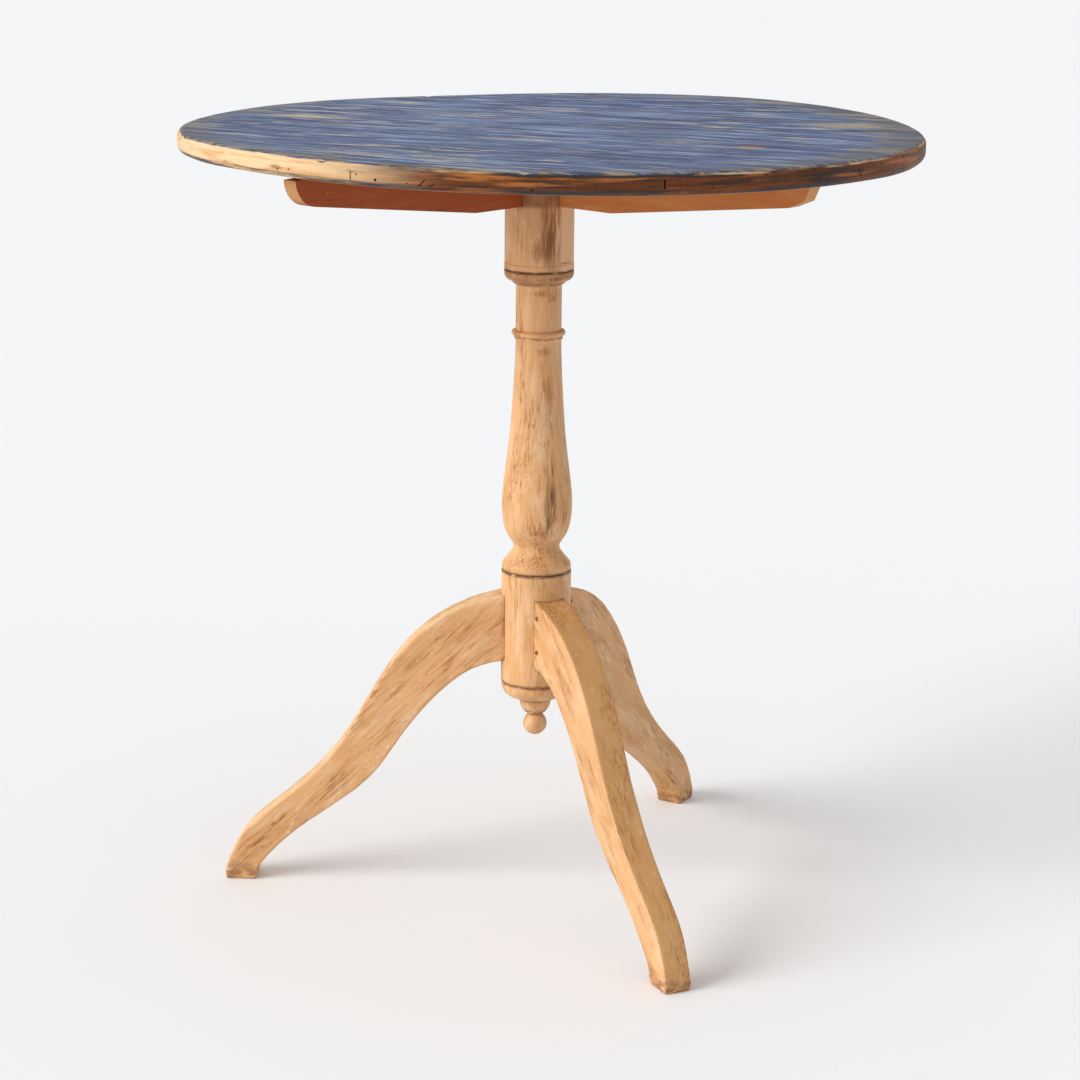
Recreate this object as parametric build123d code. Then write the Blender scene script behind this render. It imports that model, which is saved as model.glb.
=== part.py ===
from build123d import *
import math
import os

# Tilt-top pedestal table: a round board top on two crossed bearers, hinged to a turned
# column that stands on three curved legs.
# Millimetres. The origin is on the floor under the middle of the round top, +Z is up.
# The crossed bearers lie along X and Y, and the top tips down towards +Y.

# ---------------------------------------------------------------- driving dimensions
table_height = 750.0
top_diameter = 694.0
top_thickness = 19.5
top_edge_radius = 6.0
board_joints_x = (-118.0, 112.0)      # the two glued joints between the three boards

column_x = -2.0                       # the column stands a little off the middle of the top
column_y = 12.0

bearer_thickness = 15.0
bearer_depth = 50.5                   # at the column
bearer_tip_depth = 26.0
bearer_half_length = 320.0
bearer_flat_reach = 95.0              # the underside is level out to here, then rises
slot_clearance = 0.3                  # each side of a bearer in the column head
rest_gap = 0.3                        # between bearer and slot floor

head_radius = 32.9
head_bottom_z = 617.7
horn_height = 24.0                    # how far the head rises beside the bearers
shaft_bottom_z = 323.8
hub_radius = 33.9
hub_bottom_z = 193.5
joint_tenon_radius = 12.0

leg_angles = (130.0, -112.5, 10.5)    # set out by eye, so not exactly a third of a turn
leg_shoulder = 29.5                   # from the column axis to the face the leg butts on
leg_top_z = 300.0
leg_bottom_z = 234.0
leg_thickness_hub = 33.0
leg_thickness_foot = 27.0
foot_outer = 307.0
foot_inner = 278.0
toe_reach = 308.5                     # the toe swells a little past the edge it stands on

hinge_leaf_thickness = 2.2
hinge_standoff = 2.8                  # pin axis to the column flat and to the bearer
hinge_length = 20.0
knuckle_radius = 2.5
knuckle_gap = 0.4
pin_radius = 1.2
pin_running_clearance = 0.05
hinge_flat_y = 31.5                   # flat on the head, from the column axis

catch_x = 41.0                        # the hook's screw and the staple, from the column axis
catch_pivot_z = 697.0
catch_bar_z = 650.0
catch_thickness = 3.0

# ---------------------------------------------------------------- worked-out places
top_underside = table_height - top_thickness
bearer_bottom = top_underside - bearer_depth
slot_floor = bearer_bottom - rest_gap
slot_width = bearer_thickness + 2 * slot_clearance
hinge_y = hinge_flat_y + hinge_standoff
hinge_z = bearer_bottom - hinge_standoff
catch_reach = catch_pivot_z - catch_bar_z
on_column = Pos(column_x, column_y, 0)


def box_between(low, high):
    """A box given by its lowest and highest corners."""
    size = [high[i] - low[i] for i in range(3)]
    middle = [(high[i] + low[i]) / 2 for i in range(3)]
    return Pos(*middle) * Box(*size)


def rod(start, end, radius):
    """A round rod from one point to another."""
    direction = Vector(*end) - Vector(*start)
    return extrude(Plane(start, z_dir=direction) * Circle(radius), amount=direction.length)


def turned(profile):
    """A solid of revolution about the Z axis from a wire of (radius, z) points."""
    return revolve(make_face(profile), Axis.Z)


def side(radius, z):
    """A point of a turned profile or of a leg outline, in the XZ plane."""
    return (radius, 0, z)


# ---------------------------------------------------------------- round top
dowel_radius = 4.0
dowel_half_length = 18.0
dowel_rows_y = (-190.0, 0.0, 190.0)


def make_dowels():
    middle_z = top_underside + top_thickness / 2
    pegs = []
    for joint_x in board_joints_x:
        for y in dowel_rows_y:
            pegs.append(rod((joint_x - dowel_half_length, y, middle_z),
                            (joint_x + dowel_half_length, y, middle_z), dowel_radius))
    return pegs


def make_boards(holes):
    disc = Pos(0, 0, top_underside + top_thickness / 2) * Cylinder(top_diameter / 2, top_thickness)
    disc = fillet(disc.edges().filter_by(GeomType.CIRCLE), top_edge_radius)
    edges_x = (-top_diameter, *board_joints_x, top_diameter)
    boards = []
    for left, right in zip(edges_x, edges_x[1:]):
        strip = box_between((left, -top_diameter, 0), (right, top_diameter, table_height + 1))
        board = disc & strip
        for hole in holes:
            board -= hole
        boards.append(board)
    return boards


# ---------------------------------------------------------------- crossed bearers
end_curve_run = 22.0                  # length of the rounded end
end_relief_run = 40.0                 # where the cross-grain bearer is eased off the top
end_relief_depth = 2.0
bearer_screw_reaches = (120.0, 270.0)
bearer_screw_head_z = 706.5
bearer_screw_tip_z = 742.0
screw_pocket_radius = 5.0


def bearer_outline(square_end, relief):
    """Half outline of a bearer from its middle out to one end, in the XZ plane."""
    tip_z = top_underside - bearer_tip_depth
    curve_start = bearer_half_length - end_curve_run
    top_z = top_underside - relief
    lines = Line(side(0, top_underside), side(0, bearer_bottom))
    lines += Line(side(0, bearer_bottom), side(bearer_flat_reach, bearer_bottom))
    lines += Line(side(bearer_flat_reach, bearer_bottom), side(curve_start, tip_z))
    if square_end:
        lines += Line(side(curve_start, tip_z), side(bearer_half_length - 5, tip_z + 7))
        lines += Line(side(bearer_half_length - 5, tip_z + 7), side(bearer_half_length + 4, top_z))
        end_x = bearer_half_length + 4
    else:
        slope = (tip_z - bearer_bottom) / (curve_start - bearer_flat_reach)
        lines += TangentArc(side(curve_start, tip_z), side(bearer_half_length, top_z - 2),
                            tangent=(1, 0, slope))
        lines += Line(side(bearer_half_length, top_z - 2), side(bearer_half_length, top_z))
        end_x = bearer_half_length
    if relief > 0:
        relief_start = side(end_x - end_relief_run, top_underside)
        lines += Line(side(end_x, top_z), relief_start)
        lines += Line(relief_start, side(0, top_underside))
    else:
        lines += Line(side(end_x, top_z), side(0, top_underside))
    return lines


def bearer_blank(square_end, relief):
    """A whole bearer along X about the column axis; a square end is at +X."""
    halves = []
    for square in (square_end, False):
        face = make_face(bearer_outline(square, relief))
        halves.append(extrude(face, amount=bearer_thickness / 2, both=True))
    return halves[0] + mirror(halves[1], Plane.YZ)


def bearer_screw(x):
    """A screw that holds a bearer up to the top, at x along the bearer."""
    head = Pos(x, 0, bearer_screw_head_z + 1.5) * Cylinder(4.5, 3)
    slot = Pos(x, 0, bearer_screw_head_z) * Box(9, 1, 2)
    shank = rod((x, 0, bearer_screw_head_z + 3), (x, 0, bearer_screw_tip_z - 4), 2.25)
    point = Pos(x, 0, bearer_screw_tip_z - 2) * Cone(2.25, 0.5, 4)
    return head - slot + shank + point


def make_bearers():
    """The two bearers, half-lapped where they cross, and their screws."""
    cross_bearer = bearer_blank(False, end_relief_depth)
    grain_bearer = Rot(0, 0, -90) * bearer_blank(True, 0)
    half = bearer_thickness / 2
    lap_z = bearer_bottom + bearer_depth / 2
    cross_bearer -= box_between((-half, -50, lap_z), (half, 50, table_height))
    grain_bearer -= box_between((-50, -half, 0), (50, half, lap_z))
    screws = []
    for reach in bearer_screw_reaches:
        for angle in range(0, 360, 90):
            screws.append(Rot(0, 0, angle) * bearer_screw(reach))
            pocket = rod((reach, 0, 600), (reach, 0, bearer_screw_head_z), screw_pocket_radius)
            cross_bearer -= Rot(0, 0, angle) * pocket
            grain_bearer -= Rot(0, 0, angle) * pocket
    for screw in screws:
        cross_bearer -= screw
        grain_bearer -= screw
    return cross_bearer, grain_bearer, screws


# ---------------------------------------------------------------- column
head_band_height = 6.0
head_flat_angle = -85.0
head_flat_distance = 31.2
horn_relief_radius = math.hypot(hinge_y - bearer_thickness / 2, hinge_standoff) - 0.45
head_tenon_length = 36.0
shaft_tenon_length = 22.0
groove = 0.9                          # turned V at the joints between the column pieces


def make_column_head():
    """The slotted head: a cross of slots for the bearers between four upright horns."""
    band_top = head_bottom_z + head_band_height
    horn_top = bearer_bottom + horn_height
    outline = Polyline(side(0, head_bottom_z - head_tenon_length),
                       side(joint_tenon_radius, head_bottom_z - head_tenon_length),
                       side(joint_tenon_radius, head_bottom_z),
                       side(head_radius - groove, head_bottom_z),
                       side(head_radius + 0.4, head_bottom_z + groove),
                       side(head_radius + 0.4, band_top),
                       side(head_radius, band_top + 0.6),
                       side(head_radius, horn_top - 1),
                       side(head_radius - 1, horn_top),
                       side(0, horn_top),
                       close=True)
    head = turned(outline)
    reach = 2 * head_radius
    head -= box_between((-reach, -slot_width / 2, slot_floor), (reach, slot_width / 2, 800))
    head -= box_between((-slot_width / 2, -reach, slot_floor), (slot_width / 2, reach, 800))
    swing_side = box_between((-reach, slot_width / 2, slot_floor), (reach, reach, 800))
    kept_horns = rod((-reach, hinge_y, hinge_z), (reach, hinge_y, hinge_z), horn_relief_radius)
    head -= swing_side - kept_horns
    head -= box_between((-reach, hinge_flat_y, hinge_z - 40), (reach, reach, 800))
    worn_flat = box_between((head_flat_distance, -reach, band_top + 2), (reach, reach, 800))
    return head - Rot(0, 0, head_flat_angle) * worn_flat


def make_shaft():
    """The turned shaft: cap ovolo, straight neck, bead, vase and foot ring, with a tenon."""
    top = head_bottom_z
    bottom = shaft_bottom_z
    lines = Line(side(0, top - head_tenon_length), side(joint_tenon_radius, top - head_tenon_length))
    lines += Line(side(joint_tenon_radius, top - head_tenon_length), side(joint_tenon_radius, top))
    lines += Line(side(joint_tenon_radius, top), side(33.2 - groove, top))
    lines += Line(side(33.2 - groove, top), side(33.2, top - groove))
    lines += Line(side(33.2, top - groove), side(33.2, 614.0))
    lines += ThreePointArc(side(33.2, 614.0), side(31.4, 609.6), side(27.2, 607.2))
    lines += Line(side(27.2, 607.2), side(25.4, 607.2))
    lines += Line(side(25.4, 607.2), side(25.4, 605.2))
    lines += ThreePointArc(side(25.4, 605.2), side(22.9, 603.8), side(21.9, 601.0))
    lines += Line(side(21.9, 601.0), side(21.9, 559.6))
    lines += ThreePointArc(side(23.2, 559.6), side(25.8, 556.8), side(23.2, 554.0))
    lines += Line(side(21.9, 559.6), side(23.2, 559.6))
    lines += Line(side(23.2, 554.0), side(23.2, 551.4))
    lines += Line(side(23.2, 551.4), side(21.9, 549.0))
    lines += Spline(side(21.9, 549.0), side(23.2, 512.0), side(27.2, 455.5), side(31.9, 416.0),
                    side(34.1, 392.0), side(32.9, 373.0), side(27.8, 357.6), side(22.4, 348.6),
                    tangents=((0, 0, -1), (-0.35, 0, -1)))
    lines += Line(side(22.4, 348.6), side(22.4, 344.6))
    lines += Spline(side(22.4, 344.6), side(26.2, 339.0), side(31.6, 332.6), side(33.5, 328.0),
                    tangents=((0.6, 0, -1), (0, 0, -1)))
    lines += Line(side(33.5, 328.0), side(33.5, bottom + groove))
    lines += Line(side(33.5, bottom + groove), side(33.5 - groove, bottom))
    lines += Line(side(33.5 - groove, bottom), side(joint_tenon_radius, bottom))
    tenon_end = bottom - shaft_tenon_length
    lines += Line(side(joint_tenon_radius, bottom), side(joint_tenon_radius, tenon_end))
    lines += Line(side(joint_tenon_radius, tenon_end), side(0, tenon_end))
    lines += Line(side(0, tenon_end), side(0, top - head_tenon_length))
    return turned(lines)


pendant_tenon_radius = 7.0
pendant_tenon_length = 20.0


def make_pendant():
    """The turned drop under the hub: a cup and a ball, with a round tenon."""
    top = hub_bottom_z
    ball_radius = 11.6
    ball_z = 166.2
    neck_radius = 6.5
    neck_z = ball_z + math.sqrt(ball_radius ** 2 - neck_radius ** 2)
    lines = Line(side(0, top + pendant_tenon_length), side(pendant_tenon_radius, top + pendant_tenon_length))
    lines += Line(side(pendant_tenon_radius, top + pendant_tenon_length), side(pendant_tenon_radius, top))
    lines += Line(side(pendant_tenon_radius, top), side(16.2, top))
    lines += Line(side(16.2, top), side(15.6, top - 2.2))
    lines += ThreePointArc(side(15.6, top - 2.2), side(13.2, 182.5), side(neck_radius, neck_z))
    lines += ThreePointArc(side(neck_radius, neck_z), side(ball_radius, ball_z),
                           side(0, ball_z - ball_radius))
    lines += Line(side(0, ball_z - ball_radius), side(0, top + pendant_tenon_length))
    return turned(lines)


def make_hub(legs, nails):
    """The block that the legs join, with its lower moulding and its bores."""
    top = shaft_bottom_z
    ovolo_top = 208.5
    lines = Line(side(0, top), side(hub_radius - groove, top))
    lines += Line(side(hub_radius - groove, top), side(hub_radius, top - groove))
    lines += Line(side(hub_radius, top - groove), side(hub_radius, ovolo_top + 3.2))
    lines += Line(side(hub_radius, ovolo_top + 3.2), side(hub_radius - 1.4, ovolo_top + 1.4))
    lines += Line(side(hub_radius - 1.4, ovolo_top + 1.4), side(hub_radius - 0.6, ovolo_top))
    lines += Line(side(hub_radius - 0.6, ovolo_top), side(hub_radius - 0.6, 206.0))
    lines += ThreePointArc(side(hub_radius - 0.6, 206.0), side(28.6, 197.8), side(19.0, 194.6))
    lines += Line(side(19.0, 194.6), side(18.0, hub_bottom_z))
    lines += Line(side(18.0, hub_bottom_z), side(0, hub_bottom_z))
    lines += Line(side(0, hub_bottom_z), side(0, top))
    hub = turned(lines)
    hub -= rod((0, 0, top - shaft_tenon_length), (0, 0, top), joint_tenon_radius)
    hub -= rod((0, 0, hub_bottom_z), (0, 0, hub_bottom_z + pendant_tenon_length), pendant_tenon_radius)
    for piece in (*legs, *nails):
        hub -= piece
    return hub


# ---------------------------------------------------------------- legs
leg_edge_radius = 2.0
leg_tenon_thickness = 10.0
leg_tenon_end = 13.0
leg_tenon_low_z = 242.0
leg_tenon_high_z = 291.0
nail_heights = (284.0, 250.0)
nail_radius = 1.3
nail_length = 30.0


def make_leg():
    """One leg along +X: an S-curve sawn from a plank, tapering in thickness to the foot."""
    lines = Spline(side(leg_shoulder, leg_top_z), side(74, 286), side(116, 257.5), side(150, 214.5),
                   side(177, 168), side(206, 127), side(246, 88.5), side(274, 65),
                   side(291, 46.5), side(302.5, 25), side(toe_reach, 8),
                   tangents=((1, 0, -0.22), (0.3, 0, -1)))
    lines += Line(side(toe_reach, 8), side(foot_outer, 0))
    lines += Line(side(foot_outer, 0), side(foot_inner, 0))
    lines += Line(side(foot_inner, 0), side(273, 15.5))
    lines += Spline(side(273, 15.5), side(243, 47.5), side(196, 82.5), side(160, 113.5),
                    side(127, 160), side(94, 199), side(60, 225), side(leg_shoulder, leg_bottom_z),
                    tangents=((-0.75, 0, 1), (-1, 0, 0.22)))
    lines += Line(side(leg_shoulder, leg_bottom_z), side(leg_shoulder, leg_top_z))
    blank = extrude(make_face(lines), amount=leg_thickness_hub / 2, both=True)
    hub_half = leg_thickness_hub / 2
    foot_half = leg_thickness_foot / 2
    plan = Polyline((leg_shoulder, -hub_half), (leg_shoulder, hub_half), (toe_reach, foot_half),
                    (toe_reach, -foot_half), close=True)
    leg = blank & extrude(make_face(plan), amount=leg_top_z + 1)
    rounded = []
    for edge in leg.edges():
        middle = edge.center()
        if abs(middle.Y) > 1 and middle.X > leg_shoulder + 1:
            rounded.append(edge)
    leg = fillet(rounded, leg_edge_radius)
    half = leg_tenon_thickness / 2
    return leg + box_between((leg_tenon_end, -half, leg_tenon_low_z),
                             (leg_shoulder, half, leg_tenon_high_z))


def make_nail(height):
    """A nail driven slantwise through the side of a leg into the hub, for a leg along +X."""
    side_y = -(leg_thickness_hub / 2 - 0.3)
    start = Vector(leg_shoulder + 9, side_y - 0.6, height)
    inward = Vector(-0.86, 0.5, 0).normalized()
    end = start + inward * nail_length
    shank = rod(start, end, nail_radius)
    head_end = start + inward * 1.2
    return shank + rod(start, head_end, 2.2)


# ---------------------------------------------------------------- hinge
knuckle_length = (hinge_length - 2 * knuckle_gap) / 3
leaf_clear = knuckle_radius + 0.4     # a leaf keeps this far from the other leaf's knuckle
column_leaf_drop = 32.0
arm_leaf_reach = 40.0
arm_leaf_width = 13.0
column_screw_drops = (10.0, 24.0)
arm_screw_reaches = (13.0, 31.0)


def countersunk_screw(length):
    """A flat-headed screw along -Z with its head flush at the origin."""
    head = Pos(0, 0, -0.9) * Cone(1.5, 3.0, 1.8)
    shank = rod((0, 0, -length + 3), (0, 0, -1.8), 1.5)
    point = Pos(0, 0, -length + 1.5) * Cone(0.4, 1.5, 3)
    slot = Box(7, 0.8, 1.4)
    return head + shank + point - slot


def make_column_leaf(screws):
    outer = hinge_length / 2
    inner = knuckle_length / 2 + knuckle_gap
    leaf_face = hinge_flat_y + hinge_leaf_thickness
    leaf = box_between((-outer, hinge_flat_y, hinge_z - column_leaf_drop),
                       (outer, leaf_face, hinge_z - leaf_clear))
    for low, high in ((-outer, -inner), (inner, outer)):
        leaf += box_between((low, hinge_flat_y, hinge_z - leaf_clear), (high, leaf_face, hinge_z))
        leaf += rod((low, hinge_y, hinge_z), (high, hinge_y, hinge_z), knuckle_radius)
    leaf -= rod((-outer, hinge_y, hinge_z), (outer, hinge_y, hinge_z), pin_radius)
    for screw in screws:
        leaf -= screw
    return leaf


def make_arm_leaf(screws):
    half = arm_leaf_width / 2
    knuckle_half = knuckle_length / 2
    leaf_face = bearer_bottom - hinge_leaf_thickness
    leaf = box_between((-half, hinge_y + leaf_clear, leaf_face),
                       (half, hinge_y + arm_leaf_reach, bearer_bottom))
    leaf += box_between((-knuckle_half, hinge_y, leaf_face),
                        (knuckle_half, hinge_y + leaf_clear, bearer_bottom))
    leaf += rod((-knuckle_half, hinge_y, hinge_z), (knuckle_half, hinge_y, hinge_z), knuckle_radius)
    bore = pin_radius + pin_running_clearance
    leaf -= rod((-half, hinge_y, hinge_z), (half, hinge_y, hinge_z), bore)
    for screw in screws:
        leaf -= screw
    return leaf


def make_hinge_pin():
    half = hinge_length / 2
    pin = rod((-half - 0.5, hinge_y, hinge_z), (half + 0.5, hinge_y, hinge_z), pin_radius)
    for start, end in ((-half - 1.3, -half), (half, half + 1.3)):
        pin += rod((start, hinge_y, hinge_z), (end, hinge_y, hinge_z), 2.0)
    return pin


def make_column_screws():
    face = hinge_flat_y + hinge_leaf_thickness
    return [Pos(0, face, hinge_z - drop) * Rot(-90, 0, 0) * countersunk_screw(18)
            for drop in column_screw_drops]


def make_arm_screws():
    face = bearer_bottom - hinge_leaf_thickness
    return [Pos(0, hinge_y + reach, face) * Rot(180, 0, 0) * countersunk_screw(18)
            for reach in arm_screw_reaches]


# ---------------------------------------------------------------- catch
catch_near_y = bearer_thickness / 2 + 0.3   # the hook lies this far off the bearer's side
catch_far_y = catch_near_y + catch_thickness
catch_shank_half = 4.5
catch_eye_radius = 6.8
catch_end_radius = 6.5
catch_throat_half = 2.0
catch_screw_radius = 2.0
catch_screw_depth = 11.0
catch_bar_radius = 1.5
staple_half_width = 7.5
staple_bend_radius = 3.0
staple_depth_x = 18.0


def across_catch(x, z, radius):
    """A disc as thick as the hook, x and z from its pivot."""
    return rod((x, catch_near_y, z), (x, catch_far_y, z), radius)


def make_catch_hook():
    """A flat iron hook lying along the bearer; it drops a quarter turn over the staple."""
    hook = across_catch(0, 0, catch_eye_radius)
    hook += box_between((0, catch_near_y, -catch_shank_half), (catch_reach, catch_far_y, catch_shank_half))
    hook += across_catch(catch_reach, 0, catch_end_radius)
    hook -= across_catch(catch_reach, 0, catch_throat_half)
    hook -= box_between((catch_reach - catch_throat_half, 0, -10), (catch_reach + catch_throat_half, 20, 0))
    hook -= across_catch(0, 0, catch_screw_radius + pin_running_clearance)
    return Pos(catch_x, 0, catch_pivot_z) * hook


def make_catch_screw():
    head_low = catch_far_y + 0.3
    screw = rod((0, bearer_thickness / 2 - catch_screw_depth, 0), (0, head_low, 0), catch_screw_radius)
    screw += rod((0, head_low, 0), (0, head_low + 2.2, 0), 4.2)
    screw -= box_between((-5, head_low + 1.2, -0.5), (5, head_low + 3, 0.5))
    return Pos(catch_x, 0, catch_pivot_z) * screw


def make_catch_staple():
    """A bent wire staple in the head: two prongs and the bar that the hook drops over."""
    middle_y = (catch_near_y + catch_far_y) / 2
    near = middle_y - staple_half_width
    far = middle_y + staple_half_width
    wire = FilletPolyline((staple_depth_x, near, catch_bar_z), (catch_x, near, catch_bar_z),
                          (catch_x, far, catch_bar_z), (staple_depth_x, far, catch_bar_z),
                          radius=staple_bend_radius)
    return sweep(Plane(wire @ 0, z_dir=wire % 0) * Circle(catch_bar_radius), path=wire)


# ---------------------------------------------------------------- assembly
def build_table():
    """Every piece of the table by node name; identical fasteners share a node."""
    cross_bearer, grain_bearer, bearer_screws = make_bearers()
    arm_screws = make_arm_screws()
    column_screws = make_column_screws()
    catch_screw = make_catch_screw()
    catch_staple = make_catch_staple()
    for screw in arm_screws:
        grain_bearer -= screw
    cross_bearer -= catch_screw
    head = make_column_head() - catch_staple
    for screw in column_screws:
        head -= screw

    plain_leg = make_leg()
    legs = []
    nails = []
    for angle in leg_angles:
        leg_nails = [Rot(0, 0, angle) * make_nail(height) for height in nail_heights]
        leg = Rot(0, 0, angle) * plain_leg
        for nail in leg_nails:
            leg -= nail
        legs.append(leg)
        nails += leg_nails

    dowels = make_dowels()
    placed_screws = [on_column * screw for screw in bearer_screws]
    boards = make_boards([*dowels, *placed_screws])

    on_column_nodes = {
        "cross_bearer": cross_bearer,
        "grain_bearer": grain_bearer,
        "column_head": head,
        "turned_shaft": make_shaft(),
        "leg_hub": make_hub(legs, nails),
        "drop_pendant": make_pendant(),
        "left_leg": legs[0],
        "front_leg": legs[1],
        "back_leg": legs[2],
        "leg_nails": Compound(nails),
        "hinge_column_leaf": make_column_leaf(column_screws),
        "hinge_arm_leaf": make_arm_leaf(arm_screws),
        "hinge_pin": make_hinge_pin(),
        "column_leaf_screws": Compound(column_screws),
        "arm_leaf_screws": Compound(arm_screws),
        "bearer_screws": Compound(bearer_screws),
        "catch_hook": make_catch_hook(),
        "catch_screw": catch_screw,
        "catch_staple": catch_staple,
    }
    nodes = {name: on_column * shape for name, shape in on_column_nodes.items()}
    nodes["left_board"] = boards[0]
    nodes["middle_board"] = boards[1]
    nodes["right_board"] = boards[2]
    nodes["board_dowels"] = Compound(dowels)
    return nodes


os.makedirs("parts", exist_ok=True)
for node_name, node_shape in build_table().items():
    export_step(node_shape, f"parts/{node_name}.step")
    print(node_name, len(node_shape.solids()), "solids")
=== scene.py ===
# %% [markdown]
# # A scrubbed, painted tilt-top table
# A round board top lies on two crossed bearers, which sit in the slots of a turned column.
# The column stands on three curved legs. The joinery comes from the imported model, and the
# main places are read from it, so that each new piece lands where the maker's drawing has
# it. Lengths are in metres, except where a name or a comment says millimetres.

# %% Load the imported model
import bmesh
import bpy
from math import cos, pi, radians, sin
from mathutils import Matrix, Vector, noise


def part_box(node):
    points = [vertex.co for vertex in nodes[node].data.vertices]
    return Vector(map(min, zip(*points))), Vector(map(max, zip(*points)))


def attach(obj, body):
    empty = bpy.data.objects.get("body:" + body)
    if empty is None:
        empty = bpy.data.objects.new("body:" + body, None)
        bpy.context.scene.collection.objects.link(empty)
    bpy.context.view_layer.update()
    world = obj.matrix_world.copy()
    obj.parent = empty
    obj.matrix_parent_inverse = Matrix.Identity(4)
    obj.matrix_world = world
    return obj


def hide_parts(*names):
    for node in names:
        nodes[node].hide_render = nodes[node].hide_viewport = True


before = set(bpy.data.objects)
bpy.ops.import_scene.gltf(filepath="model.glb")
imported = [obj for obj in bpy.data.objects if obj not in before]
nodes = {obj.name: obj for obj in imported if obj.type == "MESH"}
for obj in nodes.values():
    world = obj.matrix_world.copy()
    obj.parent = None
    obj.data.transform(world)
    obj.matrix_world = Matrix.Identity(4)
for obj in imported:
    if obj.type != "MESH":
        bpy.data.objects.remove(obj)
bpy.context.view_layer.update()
scene = bpy.context.scene

# %% [markdown]
# ## Where the viewer stands
# The table is seen from about a metre up, a little above its top, so the round top is a
# narrow ellipse. A long lens from under three metres keeps the turned column upright and
# its mouldings nearly flat. The camera is placed by angles about the column axis: a turn
# around it, a tilt down, and a slight roll.

# %% Camera
millimetre = 0.001
drop_low, drop_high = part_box("drop_pendant")
column_axis = Vector(((drop_low.x + drop_high.x) / 2, (drop_low.y + drop_high.y) / 2, 0))
viewer_place = Vector((0.0033, -2.6568, 1.0303))
viewer_turn = radians(-48)
tilt_down = radians(14.32)
roll = radians(0.55)

camera = bpy.data.objects.new("viewer", bpy.data.cameras.new("viewer"))
camera.data.sensor_width = 36
camera.data.lens = 94.1
around_column = Matrix.Translation(column_axis) @ Matrix.Rotation(viewer_turn, 4, "Z")
stand = Matrix.Translation(viewer_place)
aim = Matrix.Rotation(pi / 2 - tilt_down, 4, "X") @ Matrix.Rotation(roll, 4, "Z")
camera.matrix_world = around_column @ stand @ aim
scene.collection.objects.link(camera)
scene.camera = camera
print("the viewer stands", round(camera.location.z, 2), "m high")

# %% [markdown]
# ## One helper for every node
# Materials and Geometry Nodes are both built by linking small nodes. One function adds a
# node, gives it its settings, and fills each input with a plain value or with a link, so
# that a whole finish reads as a short list. Colours are written as the sRGB hex values
# that a paint chart would give, and one function turns them to the linear light that the
# renderer works in.

# %% Add a node, read a colour
def add(tree, kind, settings=None, inputs=None):
    """Adds one node with its settings, and fills its inputs with values or links."""
    node = tree.nodes.new(kind)
    for name, value in (settings or {}).items():
        setattr(node, name, value)
    for name, value in (inputs or {}).items():
        if isinstance(value, bpy.types.NodeSocket):
            tree.links.new(value, node.inputs[name])
        else:
            node.inputs[name].default_value = value
    return node


def linear(chart):
    """An sRGB hex colour such as "d9a674" as linear red, green, blue and alpha."""
    channels = []
    for start in (0, 2, 4):
        value = int(chart[start:start + 2], 16) / 255
        channels.append(value / 12.92 if value <= 0.04045 else ((value + 0.055) / 1.055) ** 2.4)
    return (*channels, 1)


# %% [markdown]
# ## Grain, patches and coats
# Old wood is read in layers: the bare wood, the growth rings and fibres in it, then stains,
# dirt and what is left of each old finish. So each finish below is a stack of coats, and
# each coat is a colour with a mask that says where it lies. The masks are noise stretched
# along the grain, with its size given in real millimetres. A Mapping node turns the object's
# own coordinates so that local X always runs along the grain of that piece.

# %% Start a finish
def start_finish(name, roughness):
    """A new material, with the tree and the shader that its coats go to."""
    material = bpy.data.materials.new(name)
    material.use_nodes = True
    tree = material.node_tree
    shader = tree.nodes["Principled BSDF"]
    shader.inputs["Roughness"].default_value = roughness
    return material, tree, shader


def along_grain(tree, centre=(0, 0, 0), turn=(0, 0, 0)):
    """The object's own coordinates, from a centre, turned so that X runs along the grain."""
    own = add(tree, "ShaderNodeTexCoord").outputs["Object"]
    settings = {"vector_type": "TEXTURE"}
    placed = {"Vector": own, "Location": centre, "Rotation": turn}
    return add(tree, "ShaderNodeMapping", settings, placed).outputs[0]


# %% Masks
def ramp(tree, value, low, high, strength=1.0):
    """Nought below low, strength above high, with a smooth rise between."""
    limits = {"Value": value, "From Min": low, "From Max": high, "To Max": strength}
    settings = {"interpolation_type": "SMOOTHSTEP"}
    return add(tree, "ShaderNodeMapRange", settings, limits).outputs[0]


def patches(tree, grain, size_mm, low, high, strength=1.0, seed=0.0, detail=3.0):
    """Ragged patches of about this size: along the grain, across it, and into the wood."""
    finer = tuple(1000 / size for size in size_mm)
    scaled = add(tree, "ShaderNodeMapping", None, {"Vector": grain, "Scale": finer}).outputs[0]
    grown = {"Vector": scaled, "W": seed, "Scale": 1.0, "Detail": detail, "Roughness": 0.6}
    mottle = add(tree, "ShaderNodeTexNoise", {"noise_dimensions": "4D"}, grown).outputs[0]
    return ramp(tree, mottle, low, high, strength)


def growth_rings(tree, grain, spacing_mm, pith_mm, low, high, strength, wobble=2.5):
    """Growth rings about a pith that runs along the grain, this far to the side."""
    shift = (0, -pith_mm[0] * millimetre, -pith_mm[1] * millimetre)
    squeezed = {"Vector": grain, "Location": shift, "Scale": (0.06, 1, 1)}
    log = add(tree, "ShaderNodeMapping", None, squeezed).outputs[0]
    settings = {"wave_type": "RINGS", "rings_direction": "X", "wave_profile": "SAW"}
    rings_in_wave_unit = 2 * pi / 20
    grown = {
        "Vector": log,
        "Scale": rings_in_wave_unit / (spacing_mm * millimetre),
        "Distortion": wobble,
        "Detail": 2.0,
        "Detail Scale": 0.12,
    }
    return ramp(tree, add(tree, "ShaderNodeTexWave", settings, grown).outputs[1], low, high, strength)


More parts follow.
